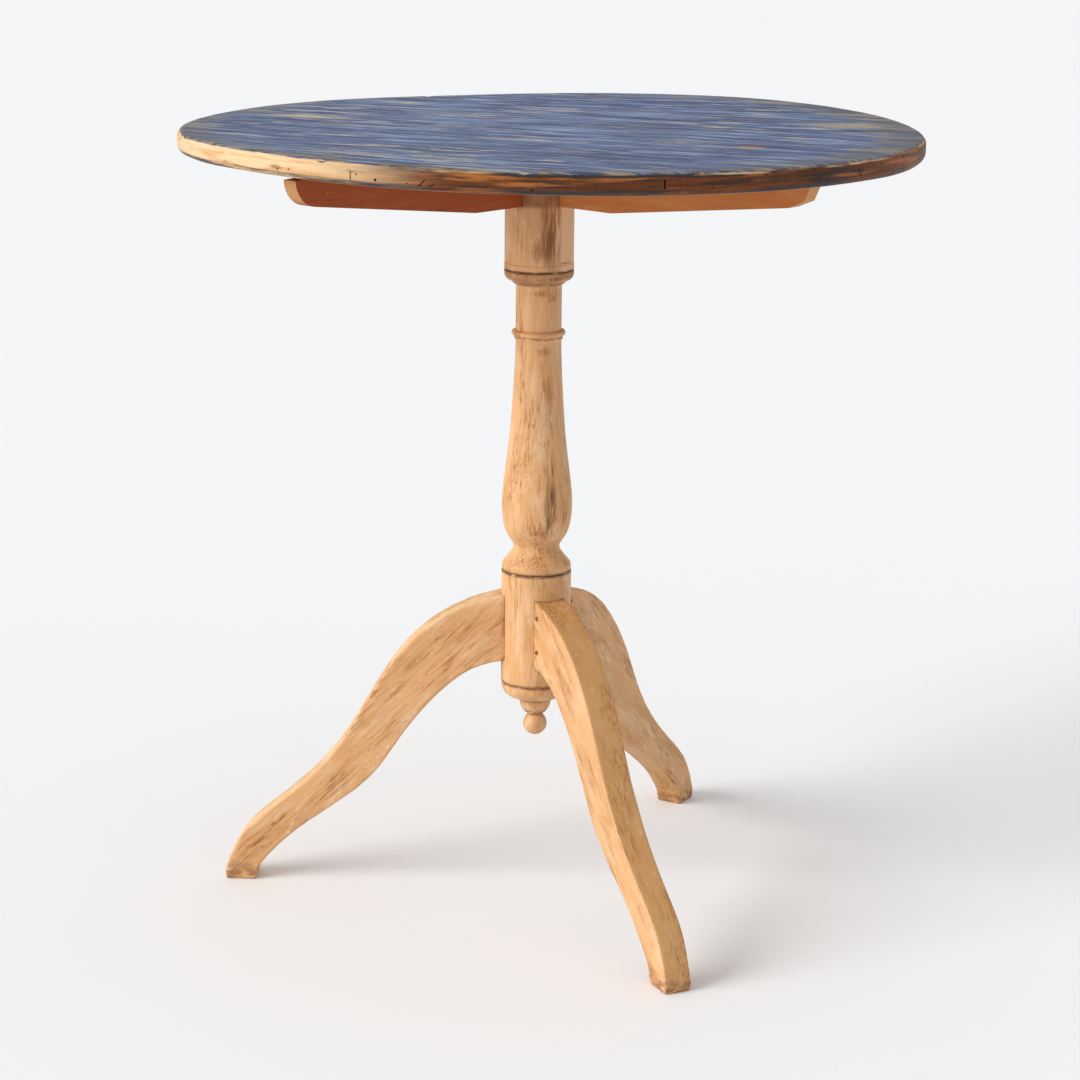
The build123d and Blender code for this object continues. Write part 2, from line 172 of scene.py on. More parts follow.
def spot(tree, place, centre_mm, size_mm, strength=1.0, ragged=0.5, seed=0.0):
    """One soft-edged mark at a place, with the size of its three half-widths."""
    move = tuple(-c / s for c, s in zip(centre_mm, size_mm))
    shrink = tuple(1000 / s for s in size_mm)
    local = add(tree, "ShaderNodeMapping", None, {"Vector": place, "Location": move, "Scale": shrink})
    far = add(tree, "ShaderNodeVectorMath", {"operation": "LENGTH"}, {0: local.outputs[0]})
    grown = {"Vector": local.outputs[0], "W": seed, "Scale": 1.6, "Detail": 4.0}
    rough = add(tree, "ShaderNodeTexNoise", {"noise_dimensions": "4D"}, grown).outputs[0]
    shift = {0: rough, 1: -2 * ragged, 2: far.outputs["Value"]}
    edge = add(tree, "ShaderNodeMath", {"operation": "MULTIPLY_ADD"}, shift).outputs[0]
    return ramp(tree, edge, 1.0 - ragged, 0.25 - ragged, strength)


def both(tree, first, second):
    """Where both masks are."""
    return add(tree, "ShaderNodeMath", {"operation": "MULTIPLY"}, {0: first, 1: second}).outputs[0]


# %% Coats and relief
def coats(tree, first, layers):
    """Lays coats over a first colour; each layer is a mask and a colour, the last on top."""
    under = linear(first) if isinstance(first, str) else first
    for mask, colour in layers:
        over = linear(colour) if isinstance(colour, str) else colour
        mixed = add(tree, "ShaderNodeMix", {"data_type": "RGBA"}, {0: mask, 6: under, 7: over})
        under = mixed.outputs[2]
    return under


def relief(tree, shader, hollows):
    """Cuts each mask into the surface by its depth in millimetres."""
    normal = None
    for mask, depth_mm in hollows:
        cut = {"Height": mask, "Distance": abs(depth_mm) * millimetre, "Strength": 1.0}
        if normal is not None:
            cut["Normal"] = normal
        bump = add(tree, "ShaderNodeBump", {"invert": depth_mm > 0}, cut)
        normal = bump.outputs[0]
    tree.links.new(normal, shader.inputs["Normal"])


# %% [markdown]
# ## Scraped pine
# The legs and the turned column are old pine that was once painted and has been scraped
# and washed back by hand. Pine has pale, warm early wood and narrow golden late wood, so
# its rings show as soft stripes. Scraping leaves golden-brown streaks of old size in the
# grain, chalky specks of paint in the pores, and a dry surface that scatters light: the
# roughness is about 0.6, with no varnish. The fibres of real pine are finer than 0.1 mm,
# so they are drawn coarser here, at about half a millimetre, to be seen at all.

# %% Scraped pine
def scraped_pine(name, centre, turn, seed, pith_mm, marks=(), face_light_and_shade=None, brown=0.0):
    """Pine that was painted once and is scraped back; marks are extra (mask, colour) coats."""
    material, tree, shader = start_finish(name, 0.6)
    grain = along_grain(tree, centre, turn)
    late_wood = growth_rings(tree, grain, 5.5, pith_mm, 0.35, 1.0, 0.15, 4.0)
    fibres = patches(tree, grain, (22, 0.9, 0.9), 0.36, 0.66, 0.4, seed, 4)
    warm = patches(tree, grain, (70, 24, 24), 0.38, 0.64, 0.7, seed + 3)
    pale = patches(tree, grain, (50, 16, 16), 0.48, 0.66, 0.6, seed + 5)
    size_zone = patches(tree, grain, (75, 20, 20), 0.44 - brown, 0.62 - brown, 1.0, seed + 7)
    size_streaks = patches(tree, grain, (30, 2.0, 2.0), 0.42, 0.60, 0.8, seed + 8, 5)
    size_left = both(tree, size_zone, size_streaks)
    deep_streaks = patches(tree, grain, (15, 2.2, 2.2), 0.56, 0.68, 0.85, seed + 11, 5)
    deep = both(tree, size_zone, deep_streaks)
    chalk = patches(tree, grain, (9, 1.4, 1.4), 0.61, 0.70, 0.75, seed + 17, 3)
    chalk_zone = patches(tree, grain, (90, 22, 22), 0.44, 0.60, 1.0, seed + 19)
    chalk_left = both(tree, chalk, chalk_zone)
    pores = patches(tree, grain, (6, 0.8, 0.8), 0.655, 0.72, 0.7, seed + 23, 2)
    layers = [
        (warm, "d09b66"),
        (pale, "e8c49c"),
        (fibres, "c9935c"),
        (late_wood, "b47c42"),
        (size_left, "aa6f33"),
        (deep, "82511f"),
        (chalk_left, "efe4d2"),
        (pores, "6b4421"),
    ]
    if face_light_and_shade is not None:
        layers.insert(3, face_light_and_shade(tree))
    for mark in marks:
        layers.append((mark[0](tree), mark[1]))
    colour = coats(tree, "dfac78", layers)
    tree.links.new(colour, shader.inputs["Base Color"])
    sheen = add(tree, "ShaderNodeMapRange", None, {"Value": fibres, "To Min": 0.52, "To Max": 0.7})
    tree.links.new(sheen.outputs[0], shader.inputs["Roughness"])
    relief(tree, shader, [(fibres, 0.12), (deep, 0.2), (pores, 0.25), (chalk_left, -0.12)])
    return material


def own_place(tree):
    """The object's own coordinates, for marks that are given by place."""
    return add(tree, "ShaderNodeTexCoord").outputs["Object"]


def height_band(tree, low, high, fade, strength=1.0):
    """A mask between two heights, fading out over a distance above and below them."""
    height = add(tree, "ShaderNodeSeparateXYZ", None, {0: own_place(tree)}).outputs[2]
    rise = ramp(tree, height, low - fade, low, strength)
    fall = ramp(tree, height, high + fade, high, 1.0)
    return both(tree, rise, fall)


def column_distance(tree):
    """How far a point is from the column's axis."""
    own = own_place(tree)
    flat = {0: own, 1: (1, 1, 0), 2: (-column_axis.x, -column_axis.y, 0)}
    across = add(tree, "ShaderNodeVectorMath", {"operation": "MULTIPLY_ADD"}, flat).outputs[0]
    return add(tree, "ShaderNodeVectorMath", {"operation": "LENGTH"}, {0: across}).outputs["Value"]


def column_mark(angle, radius_mm, height_mm, size_mm, strength, seed):
    """A mark on the column, by its angle round the axis and its height."""
    x = column_axis.x * 1000 + radius_mm * cos(radians(angle))
    y = column_axis.y * 1000 + radius_mm * sin(radians(angle))

    def mask(tree):
        mark = spot(tree, own_place(tree), (x, y, height_mm), size_mm, strength, 0.6, seed)
        strokes = patches(tree, own_place(tree), (2.6, 2.6, 26), 0.36, 0.54, 1.0, seed, 5)
        return both(tree, mark, strokes)

    return mask


# %% [markdown]
# ## The legs
# Each leg is sawn to an S-curve from a thick board and rounded over by hand, so no face is
# quite flat and no edge quite straight. A subdivided bevel would look machine made. Instead,
# each leg is remeshed from its solid at just over a millimetre, which softens the edges as
# wear does, and a Geometry Nodes tree then pushes the surface in and out by fractions of a
# millimetre: a slow wander from the spokeshave, and smaller dents from a century of feet.
# The tree is used again for the round top.

# %% The hand-worked surface, as Geometry Nodes
def hand_worked_tree():
    """Pushes a surface along its normals by a slow wander and by small dents."""
    tree = bpy.data.node_groups.new("hand_worked_surface", "GeometryNodeTree")
    face = tree.interface
    face.new_socket("Geometry", in_out="OUTPUT", socket_type="NodeSocketGeometry")
    face.new_socket("Geometry", in_out="INPUT", socket_type="NodeSocketGeometry")
    for name in ("Wander", "Wander Size", "Dents", "Dent Size", "Seed", "Flat Below"):
        face.new_socket(name, in_out="INPUT", socket_type="NodeSocketFloat")
    face.new_socket("Finish", in_out="INPUT", socket_type="NodeSocketMaterial")
    given = add(tree, "NodeGroupInput").outputs
    place = add(tree, "GeometryNodeInputPosition").outputs[0]
    normal = add(tree, "GeometryNodeInputNormal").outputs[0]
    pushes = []
    for amount, size in (("Wander", "Wander Size"), ("Dents", "Dent Size")):
        per_size = add(tree, "ShaderNodeMath", {"operation": "DIVIDE"}, {0: 1.0, 1: given[size]})
        grown = {"Vector": place, "W": given["Seed"], "Scale": per_size.outputs[0], "Detail": 2.0}
        mottle = add(tree, "ShaderNodeTexNoise", {"noise_dimensions": "4D"}, grown).outputs[0]
        centred = add(tree, "ShaderNodeMath", {"operation": "SUBTRACT"}, {0: mottle, 1: 0.5})
        push = {0: centred.outputs[0], 1: given[amount]}
        pushes.append(add(tree, "ShaderNodeMath", {"operation": "MULTIPLY"}, push).outputs[0])
    total = add(tree, "ShaderNodeMath", {"operation": "ADD"}, {0: pushes[0], 1: pushes[1]})
    offset = {0: normal, "Scale": total.outputs[0]}
    offset = add(tree, "ShaderNodeVectorMath", {"operation": "SCALE"}, offset).outputs[0]
    height = add(tree, "ShaderNodeSeparateXYZ", None, {0: place}).outputs[2]
    free = {0: height, 1: given["Flat Below"]}
    free = add(tree, "ShaderNodeMath", {"operation": "GREATER_THAN"}, free).outputs[0]
    moved = {"Geometry": given["Geometry"], "Selection": free, "Offset": offset}
    moved = add(tree, "GeometryNodeSetPosition", None, moved).outputs[0]
    real = add(tree, "GeometryNodeRealizeInstances", None, {"Geometry": moved}).outputs[0]
    finish = {"Geometry": real, "Material": given["Finish"]}
    done = add(tree, "GeometryNodeSetMaterial", None, finish).outputs[0]
    add(tree, "NodeGroupOutput", None, {"Geometry": done})
    return tree


def run_tree(piece, tree, values):
    """Adds a Geometry Nodes modifier with named values, and bakes the result to a mesh."""
    modifier = piece.modifiers.new("rule", "NODES")
    modifier.node_group = tree
    for item in tree.interface.items_tree:
        if item.in_out == "INPUT" and item.name in values:
            modifier[item.identifier] = values[item.name]
    return bake_modifiers(piece)


def bake_modifiers(piece):
    """Replaces a piece's mesh by what its modifiers make, and removes them."""
    graph = bpy.context.evaluated_depsgraph_get()
    mesh = bpy.data.meshes.new_from_object(piece.evaluated_get(graph))
    piece.modifiers.clear()
    piece.data = mesh
    return piece


def new_piece(name, mesh):
    """An object at the origin for a mesh that already has its place."""
    piece = bpy.data.objects.new(name, mesh)
    scene.collection.objects.link(piece)
    return piece


hand_worked = hand_worked_tree()
print("the hand-worked tree has", len(hand_worked.nodes), "nodes")

# %% Worn legs
leg_voxel = 1.25 * millimetre
leg_grain_fall = radians(44)
leg_turns = {"left_leg": radians(130), "front_leg": radians(-112.5), "back_leg": radians(10.5)}
leg_seeds = {"left_leg": 2.0, "front_leg": 31.0, "back_leg": 57.0}
leg_join = 0.0295
# The sawn top and underside of each leg get painted light and shade: light on the left leg, which faces
# the light, darker golden on the front and back legs.
leg_light_and_shade_tones = {"left_leg": "ecc795", "front_leg": "c8975c", "back_leg": "c6965f"}


def sawn_face_light_and_shade(turn, tone):
    """Paints a leg's sawn top and underside in one tone: painted light on a lit leg, painted shade on
    the others.
    """
    def layer(tree):
        normal = add(tree, "ShaderNodeTexCoord").outputs["Normal"]
        sideways = {0: normal, 1: (-sin(turn), cos(turn), 0)}
        facing = add(tree, "ShaderNodeVectorMath", {"operation": "DOT_PRODUCT"}, sideways)
        size = add(tree, "ShaderNodeMath", {"operation": "ABSOLUTE"}, {0: facing.outputs["Value"]})
        return ramp(tree, size.outputs[0], 0.75, 0.25, 0.75), tone

    return layer


def leg_dirt(tree):
    """Dark dirt where the leg meets the hub."""
    near = ramp(tree, column_distance(tree), leg_join + 0.010, leg_join + 0.002, 1.0)
    broken = patches(tree, own_place(tree), (9, 9, 14), 0.36, 0.58, 0.8, 5.0)
    return both(tree, near, broken)


def foot_dirt(tree):
    """Scuffs and dirt on the last centimetre above the floor."""
    low = height_band(tree, -0.01, 0.004, 0.020, 0.85)
    broken = patches(tree, own_place(tree), (10, 10, 6), 0.40, 0.60, 1.0, 9.0)
    return both(tree, low, broken)


for leg, turn in leg_turns.items():
    finish = scraped_pine("scraped_pine_" + leg, column_axis, (0, leg_grain_fall, turn),
                          leg_seeds[leg], (9, 46),
                          marks=[(leg_dirt, "6d3f1c"), (foot_dirt, "8f5f36")],
                          face_light_and_shade=sawn_face_light_and_shade(turn, leg_light_and_shade_tones[leg]))
    mesh = nodes[leg].data.copy()
    shell = bmesh.new()
    shell.from_mesh(mesh)
    bmesh.ops.remove_doubles(shell, verts=shell.verts, dist=1e-6)
    shell.to_mesh(mesh)
    shell.free()
    piece = new_piece("worn_" + leg, mesh)
    remesh = piece.modifiers.new("worn", "REMESH")
    remesh.mode = "VOXEL"
    remesh.voxel_size = leg_voxel
    remesh.use_smooth_shade = True
    bake_modifiers(piece)
    run_tree(piece, hand_worked, {
        "Wander": 1.6 * millimetre,
        "Wander Size": 45 * millimetre,
        "Dents": 0.7 * millimetre,
        "Dent Size": 9 * millimetre,
        "Seed": leg_seeds[leg],
        "Flat Below": 0.8 * millimetre,
        "Finish": finish,
    })
    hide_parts(leg)
    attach(piece, "base")
    print(piece.name, len(piece.data.polygons), "faces")

# %% [markdown]
# ## The turned column
# The head, shaft, hub and drop were turned on a lathe, so their shape is exact and the
# solids from the model stay. Their grain runs straight up. The head is darker under the
# top, partly from old finish and partly as a painted shadow of the top, and one large
# dark mark on it is partly old finish and partly painted shade away from the light; it
# has one pale strip that was scraped bare. The vase has dark strokes where a scraper
# skidded, and each joint between the turned pieces holds a line of dirt. Each mark is a
# mask, given by its angle round the axis and its height, or by a band of heights.

# %% Heights and marks of the turned pieces
upright = (0, -pi / 2, radians(-60))
flipped = (0, -pi / 2, radians(35))
facet_turn = radians(-48)
bearer_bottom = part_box("cross_bearer")[0].z
shaft_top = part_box("turned_shaft")[1].z
hub_bottom, shaft_bottom = (corner.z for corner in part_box("leg_hub"))
moulding_foot = 0.6055
bead_foot = 0.5535
hub_groove = 0.2112
drop_neck = 0.1790
print("joints of the column at", [round(z, 4) for z in (shaft_top, shaft_bottom, hub_bottom)])


def joint_line(height, reach=0.0022):
    """A line of dirt at a joint between two turned pieces."""
    def mask(tree):
        line = height_band(tree, height - 0.0005, height + 0.0005, reach, 0.85)
        broken = patches(tree, own_place(tree), (9, 9, 3), 0.30, 0.55, 1.0, 2.0)
        return both(tree, line, broken)

    return mask


def finish_and_shadow_under_top(tree):
    """Old brown finish on the horns of the head, with a painted shadow of the top over it."""
    up = height_band(tree, bearer_bottom + 0.002, 0.735, 0.005, 0.8)
    broken = patches(tree, own_place(tree), (14, 14, 40), 0.22, 0.52, 1.0, 12.0, 4)
    return both(tree, up, broken)


def scraped_facet(tree):
    """A strip down one side of the head where the finish was taken right off."""
    aside = {0: own_place(tree), 1: (cos(facet_turn), sin(facet_turn), 0)}
    across = add(tree, "ShaderNodeVectorMath", {"operation": "DOT_PRODUCT"}, aside).outputs["Value"]
    axis_across = column_axis.x * cos(facet_turn) + column_axis.y * sin(facet_turn)
    strip = ramp(tree, across, axis_across + 0.0200, axis_across + 0.0212, 0.8)
    return both(tree, strip, height_band(tree, 0.60, bearer_bottom - 0.001, 0.001))


def brown_moulding(tree):
    """Old finish that stayed in the moulding under the head."""
    band = height_band(tree, shaft_top - 0.0092, shaft_top - 0.0012, 0.0010, 0.8)
    broken = patches(tree, own_place(tree), (12, 12, 6), 0.28, 0.56, 1.0, 26.0, 4)
    return both(tree, band, broken)


# %% Finish the turned pieces
head_marks = [
    # This mark is partly old finish and partly painted shade on the side of the head away from the
    # light.
    (column_mark(-118, 31, 660, (17, 17, 52), 0.9, 24.0), "8a4a1c"),
    (column_mark(-122, 32, 646, (9, 9, 30), 0.8, 4.0), "7a4117"),
    (column_mark(-136, 32, 638, (12, 12, 16), 0.7, 6.0), "8f5526"),
    (finish_and_shadow_under_top, "85481c"),
    (scraped_facet, "e2b588"),
    (joint_line(shaft_top), "5f3617"),
]
shaft_marks = [
    (brown_moulding, "97602f"),
    (joint_line(shaft_top), "5f3617"),
    (joint_line(bead_foot, 0.002), "9c6a3a"),
    (joint_line(moulding_foot, 0.003), "8a5a2e"),
    (joint_line(shaft_bottom, 0.003), "4d2b12"),
    (column_mark(-108, 33, 612, (22, 22, 3.4), 0.8, 3.0), "875425"),
    (column_mark(-135, 21, 597, (11, 11, 5), 0.75, 14.0), "a9683a"),
    (column_mark(-104, 21, 592, (7, 7, 6), 0.75, 15.0), "a9683a"),
    (column_mark(-125, 23, 541, (10, 10, 6), 0.7, 16.0), "8f5b2c"),
    (column_mark(-112, 26, 500, (7, 7, 40), 0.5, 17.0), "96602f"),
    (column_mark(-110, 31, 432, (2.2, 2.2, 22), 0.9, 18.0), "6f4520"),
    (column_mark(-113, 33, 396, (6.5, 6.5, 32), 0.95, 19.0), "75481f"),
    (column_mark(-119, 33, 380, (3.0, 3.0, 20), 0.9, 20.0), "643b19"),
    (column_mark(-167, 32, 410, (0.9, 0.9, 42), 0.8, 21.0), "6f4520"),
    (column_mark(-138, 30, 366, (12, 12, 4), 0.6, 22.0), "9a6631"),
]
hub_marks = [
    (joint_line(shaft_bottom, 0.003), "4d2b12"),
    (joint_line(hub_groove, 0.003), "6b421d"),
    (column_mark(-150, 34, 262, (10, 10, 30), 0.5, 23.0), "b5803f"),
]
turned_finishes = {
    "column_head": (upright, 71.0, (44, 30), head_marks, -0.02),
    "turned_shaft": (upright, 83.0, (58, 34), shaft_marks, 0.0),
    "leg_hub": (flipped, 97.0, (52, 20), hub_marks, -0.01),
}
for node, (turn, seed, pith, marks, brown) in turned_finishes.items():
    finish = scraped_pine("scraped_pine_" + node, column_axis, turn, seed, pith, marks, None, brown)
    nodes[node].material_slots[0].material = finish
print("turned pieces finished:", ", ".join(turned_finishes))

# %% [markdown]
# ## The drop, the dowels and the bearers
# The drop under the hub is a separate turning in a closer, redder wood that kept more of
# its finish. The bearers are a red-brown stained softwood with a thin old varnish, which
# is why they are a little glossier than the scraped pine; their end faces are paler. The
# stain is given in a darker copy for the cross bearer, as painted shade, and a lighter
# copy for the grain bearer, whose long face looks towards the light, as painted light.

# %% Stained wood
def stained_wood(name, turn, seed, tones, pale_ends, roughness=0.55):
    """Red-brown stained wood, with pale specks, and paler on the faces that pale_ends picks out."""
    material, tree, shader = start_finish(name, roughness)
    grain = along_grain(tree, column_axis, turn)
    rings = growth_rings(tree, grain, 4.5, (30, 70), 0.3, 0.95, 0.35)
    fibres = patches(tree, grain, (40, 1.2, 1.2), 0.36, 0.66, 0.6, seed, 4)
    thin = patches(tree, grain, (120, 10, 10), 0.45, 0.70, 0.7, seed + 2, 4)
    dark = patches(tree, grain, (60, 4, 4), 0.56, 0.70, 0.6, seed + 5, 4)
    specks = patches(tree, grain, (5, 2, 2), 0.70, 0.76, 0.8, seed + 9, 2)
    layers = [
        (rings, tones["ring"]),
        (thin, tones["thin"]),
        (fibres, tones["fibre"]),
        (dark, tones["dark"]),
        (specks, "dcc9b0"),
        (pale_ends(tree), "c3925c"),
    ]
    tree.links.new(coats(tree, tones["stain"], layers), shader.inputs["Base Color"])
    shader.inputs["Specular IOR Level"].default_value = 0.3
    relief(tree, shader, [(fibres, 0.08), (dark, 0.12)])
    return material


def pale_end_grain(axis):
    """The sawn and rounded ends of a bearer that lies along an axis."""
    def mask(tree):
        normal = add(tree, "ShaderNodeTexCoord").outputs["Normal"]
        along = add(tree, "ShaderNodeVectorMath", {"operation": "DOT_PRODUCT"}, {0: normal, 1: axis})
        size = add(tree, "ShaderNodeMath", {"operation": "ABSOLUTE"}, {0: along.outputs["Value"]})
        return ramp(tree, size.outputs[0], 0.35, 0.75, 0.85)

    return mask


# One stain in a shaded and a lit copy: darker for the cross bearer as painted shade, lighter for the
# grain bearer, which faces the light, as painted light.
stain_shaded_copy = {"stain": "a04816", "ring": "964418", "thin": "b05c28", "fibre": "9c4c1c", "dark": "7a350f"}
stain_lit_copy = {"stain": "cb7b3c", "ring": "bd6c30", "thin": "d89458", "fibre": "bf7136", "dark": "9c4f1e"}
nodes["cross_bearer"].material_slots[0].material = stained_wood(
    "stained_cross_bearer", (0, 0, 0), 5.0, stain_shaded_copy, pale_end_grain((1, 0, 0)))
nodes["grain_bearer"].material_slots[0].material = stained_wood(
    "stained_grain_bearer", (0, 0, pi / 2), 27.0, stain_lit_copy, pale_end_grain((0, 1, 0)))
drop_marks = [
    (joint_line(hub_bottom, 0.003), "5a3218"),
    (joint_line(drop_neck, 0.004), "6d4020"),
]
nodes["drop_pendant"].material_slots[0].material = scraped_pine(
    "worn_drop_wood", column_axis, upright, 113.0, (40, 12), drop_marks, None, 0.05)
nodes["board_dowels"].material_slots[0].material = scraped_pine(
    "split_dowel_wood", (0, 0, 0), (0, 0, 0), 131.0, (20, 20))
print("bearers, drop and dowels finished")

# %% [markdown]
# ## Old iron
# The screws, nails, hinge and catch are forged and cut iron that has been indoors for a
# long time: dark brown-black scale, dull, with some dry orange rust in the hollows. Iron is
# a metal, so its colour is in its reflection and the default index of refraction stays.
# Rust is not metal, so the metallic value falls where the rust lies.

# %% Old iron
def old_iron(name, rust_from, rust_tone):
    """Dark forged iron with dry rust where a mottle passes a threshold."""
    material, tree, shader = start_finish(name, 0.55)
    place = along_grain(tree)
    scale = patches(tree, place, (3, 3, 3), 0.35, 0.65, 0.7, 3.0, 4)
    rust = patches(tree, place, (5, 5, 5), rust_from, rust_from + 0.12, 0.9, 8.0, 5)
    layers = [(scale, "4a413b"), (rust, rust_tone)]
    tree.links.new(coats(tree, "342f2c", layers), shader.inputs["Base Color"])
    bare = add(tree, "ShaderNodeMapRange", None, {"Value": rust, "To Min": 0.85, "To Max": 0.1})
    tree.links.new(bare.outputs[0], shader.inputs["Metallic"])
    rough = add(tree, "ShaderNodeMapRange", None, {"Value": rust, "To Min": 0.48, "To Max": 0.85})
    tree.links.new(rough.outputs[0], shader.inputs["Roughness"])
    relief(tree, shader, [(scale, 0.08), (rust, -0.1)])
    return material


iron = old_iron("old_forged_iron", 0.52, "7a4527")
nodes["leg_nails"].material_slots[0].material = old_iron("rusted_nail_iron", 0.05, "94622f")
iron_nodes = [
    "bearer_screws", "hinge_column_leaf", "hinge_arm_leaf", "hinge_pin",
    "column_leaf_screws", "arm_leaf_screws", "catch_hook", "catch_screw", "catch_staple",
]
for node in iron_nodes:
    nodes[node].material_slots[0].material = iron
print(len(iron_nodes) + 1, "iron pieces")

# %% [markdown]
# ## The painted top: finish
# The top is pine boards under an old blue paint that was scrubbed with wire, a little
# askew to the boards. The scrubbing opened the paint, so the blue lies in streaks of navy,
# denim and grey-blue, with thin cream lines of bare wood between them. Around the edge,
# where arms rest, it is worn to grey and then to tan wood; the grey reaches further in on
# the side away from the light as painted shade, and less far on the side towards it. The
# rim kept more of an older brown finish, with dark blue-grey left in its hollows; on the
# side towards the light it is cream and orange, partly old paint and partly painted light.
# All of it is one stack of coats, read from the top's own coordinates with local X along
# the scrubbing; a slow noise bends that X a little, because no hand scrubs quite straight.

# %% Sizes of the top, and places on it
top_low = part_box("left_board")[0]
top_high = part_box("right_board")[1]
top_radius = top_high.x
top_height = top_high.z
top_underside = top_low.z
joint_places = (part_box("middle_board")[0].x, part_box("middle_board")[1].x)
boards_turn = (0, 0, pi / 2)
scrub = radians(110)


def scrubbed(x, y):
    """A place on the top in millimetres, turned to the direction of the scrubbing."""
    return x * cos(scrub) + y * sin(scrub), y * cos(scrub) - x * sin(scrub), top_height * 1000


def reach_towards(tree, place, direction):
    """How far a point lies towards a direction from the middle of the top."""
    reached = {0: place, 1: direction}
    return add(tree, "ShaderNodeVectorMath", {"operation": "DOT_PRODUCT"}, reached).outputs["Value"]


def distance_out(tree, place):
    """How far out a point is, roughened, and the same with wear at the two sides and painted shade away
    from the light.
    """
    level = {0: place, 1: (1, 1, 0)}
    level = add(tree, "ShaderNodeVectorMath", {"operation": "MULTIPLY"}, level).outputs[0]
    middle = add(tree, "ShaderNodeVectorMath", {"operation": "LENGTH"}, {0: level}).outputs["Value"]
    ragged = patches(tree, place, (30, 30, 30), 0.3, 0.7, 0.022, 21.0, 6)
    out = add(tree, "ShaderNodeMath", {"operation": "ADD"}, {0: middle, 1: ragged}).outputs[0]
    across = reach_towards(tree, place, (0.67, -0.74, 0))
    either_side = add(tree, "ShaderNodeMath", {"operation": "ABSOLUTE"}, {0: across}).outputs[0]
    both_sides = {0: either_side, 1: 0.08, 2: out}
    both_sides = add(tree, "ShaderNodeMath", {"operation": "MULTIPLY_ADD"}, both_sides).outputs[0]
    # The grey edge reaches further in on the side away from the light and less far on the side towards
    # it: painted shade and painted light.
    shade_away_from_light = {0: across, 1: 0.034, 2: both_sides}
    return out, add(tree, "ShaderNodeMath", {"operation": "MULTIPLY_ADD"}, shade_away_from_light).outputs[0]


# %% Scrubbed blue paint
def scrubbed_blue(tree, place):
    """The paint on the face: streaks of blue and bare wood, marks, and a worn edge."""
    straight = along_grain(tree, (0, 0, 0), (0, 0, scrub))
    bends = {"Vector": straight, "Scale": 9.0, "Detail": 2.0}
    bends = add(tree, "ShaderNodeTexNoise", None, bends).outputs["Color"]
    sway = {0: bends, 1: (0, 0.014, 0), 2: straight}
    grain = add(tree, "ShaderNodeVectorMath", {"operation": "MULTIPLY_ADD"}, sway).outputs[0]
    light_blue = patches(tree, grain, (150, 9, 60), 0.44, 0.57, 0.75, 2.0, 6)
    wash = patches(tree, grain, (160, 60, 60), 0.40, 0.62, 0.6, 4.0, 4)
    navy = patches(tree, grain, (100, 6, 60), 0.48, 0.58, 0.9, 6.0, 6)
    hairlines = patches(tree, grain, (70, 4, 60), 0.50, 0.58, 0.75, 8.0, 4)
    chalky = patches(tree, grain, (80, 4.5, 60), 0.54, 0.61, 0.8, 9.0, 4)
    cream = patches(tree, grain, (80, 4, 60), 0.575, 0.62, 0.9, 13.0, 4)
    cream_zone = patches(tree, grain, (120, 45, 40), 0.42, 0.56, 1.0, 15.0)
    bare_lines = both(tree, cream, cream_zone)
    knot = spot(tree, grain, scrubbed(15, -222), (19, 9, 60), 0.9, 0.4, 1.0)
    knot_shadow = spot(tree, grain, scrubbed(15, -214), (46, 15, 60), 0.7, 0.5, 2.0)
    bare_patch = spot(tree, grain, scrubbed(-96, 234), (62, 13, 60), 0.9, 0.9, 3.0)
    worn_right = spot(tree, grain, scrubbed(222, -200), (95, 22, 60), 0.8, 0.9, 7.0)
    pith = scrubbed(-18, 110)
    figure = growth_rings(tree, grain, 7.0, (pith[1], 741), 0.35, 0.8, 0.6, 5.0)
    figure_zone = spot(tree, grain, scrubbed(-12, 110), (95, 40, 80), 0.7, 0.5, 5.0)
    figured = both(tree, figure, figure_zone)

    out, out_worn_and_shaded = distance_out(tree, place)
    # The grey edge is wear, and on the side away from the light it is also painted shade.
    grey_edge_worn_and_shaded = ramp(tree, out_worn_and_shaded, top_radius - 0.010, top_radius + 0.022, 0.7)
    tan_edge = ramp(tree, out, top_radius + 0.008, top_radius + 0.018, 0.5)
    worn_zone = ramp(tree, out_worn_and_shaded, top_radius - 0.020, top_radius + 0.010)
    worn_streaks = patches(tree, grain, (90, 6, 60), 0.49, 0.60, 0.75, 47.0, 5)
    tan_streaks = both(tree, worn_zone, worn_streaks)
    blue = coats(tree, "3b4f78", [
        (light_blue, "6d86b6"),
        (wash, "4c6090"),
        (navy, "1c2a4a"),
        (hairlines, "2a3858"),
        (figured, "97a6c4"),
        (chalky, "a0aec6"),
        (bare_lines, "dccba4"),
        (knot_shadow, "2c3547"),
        (knot, "b06a3c"),
        (bare_patch, "d2b283"),
        (worn_right, "a79472"),
        (grey_edge_worn_and_shaded, "474c56"),
        (tan_streaks, "9c8b70"),
        (tan_edge, "a98a60"),
    ])
    return blue, navy, chalky, bare_lines


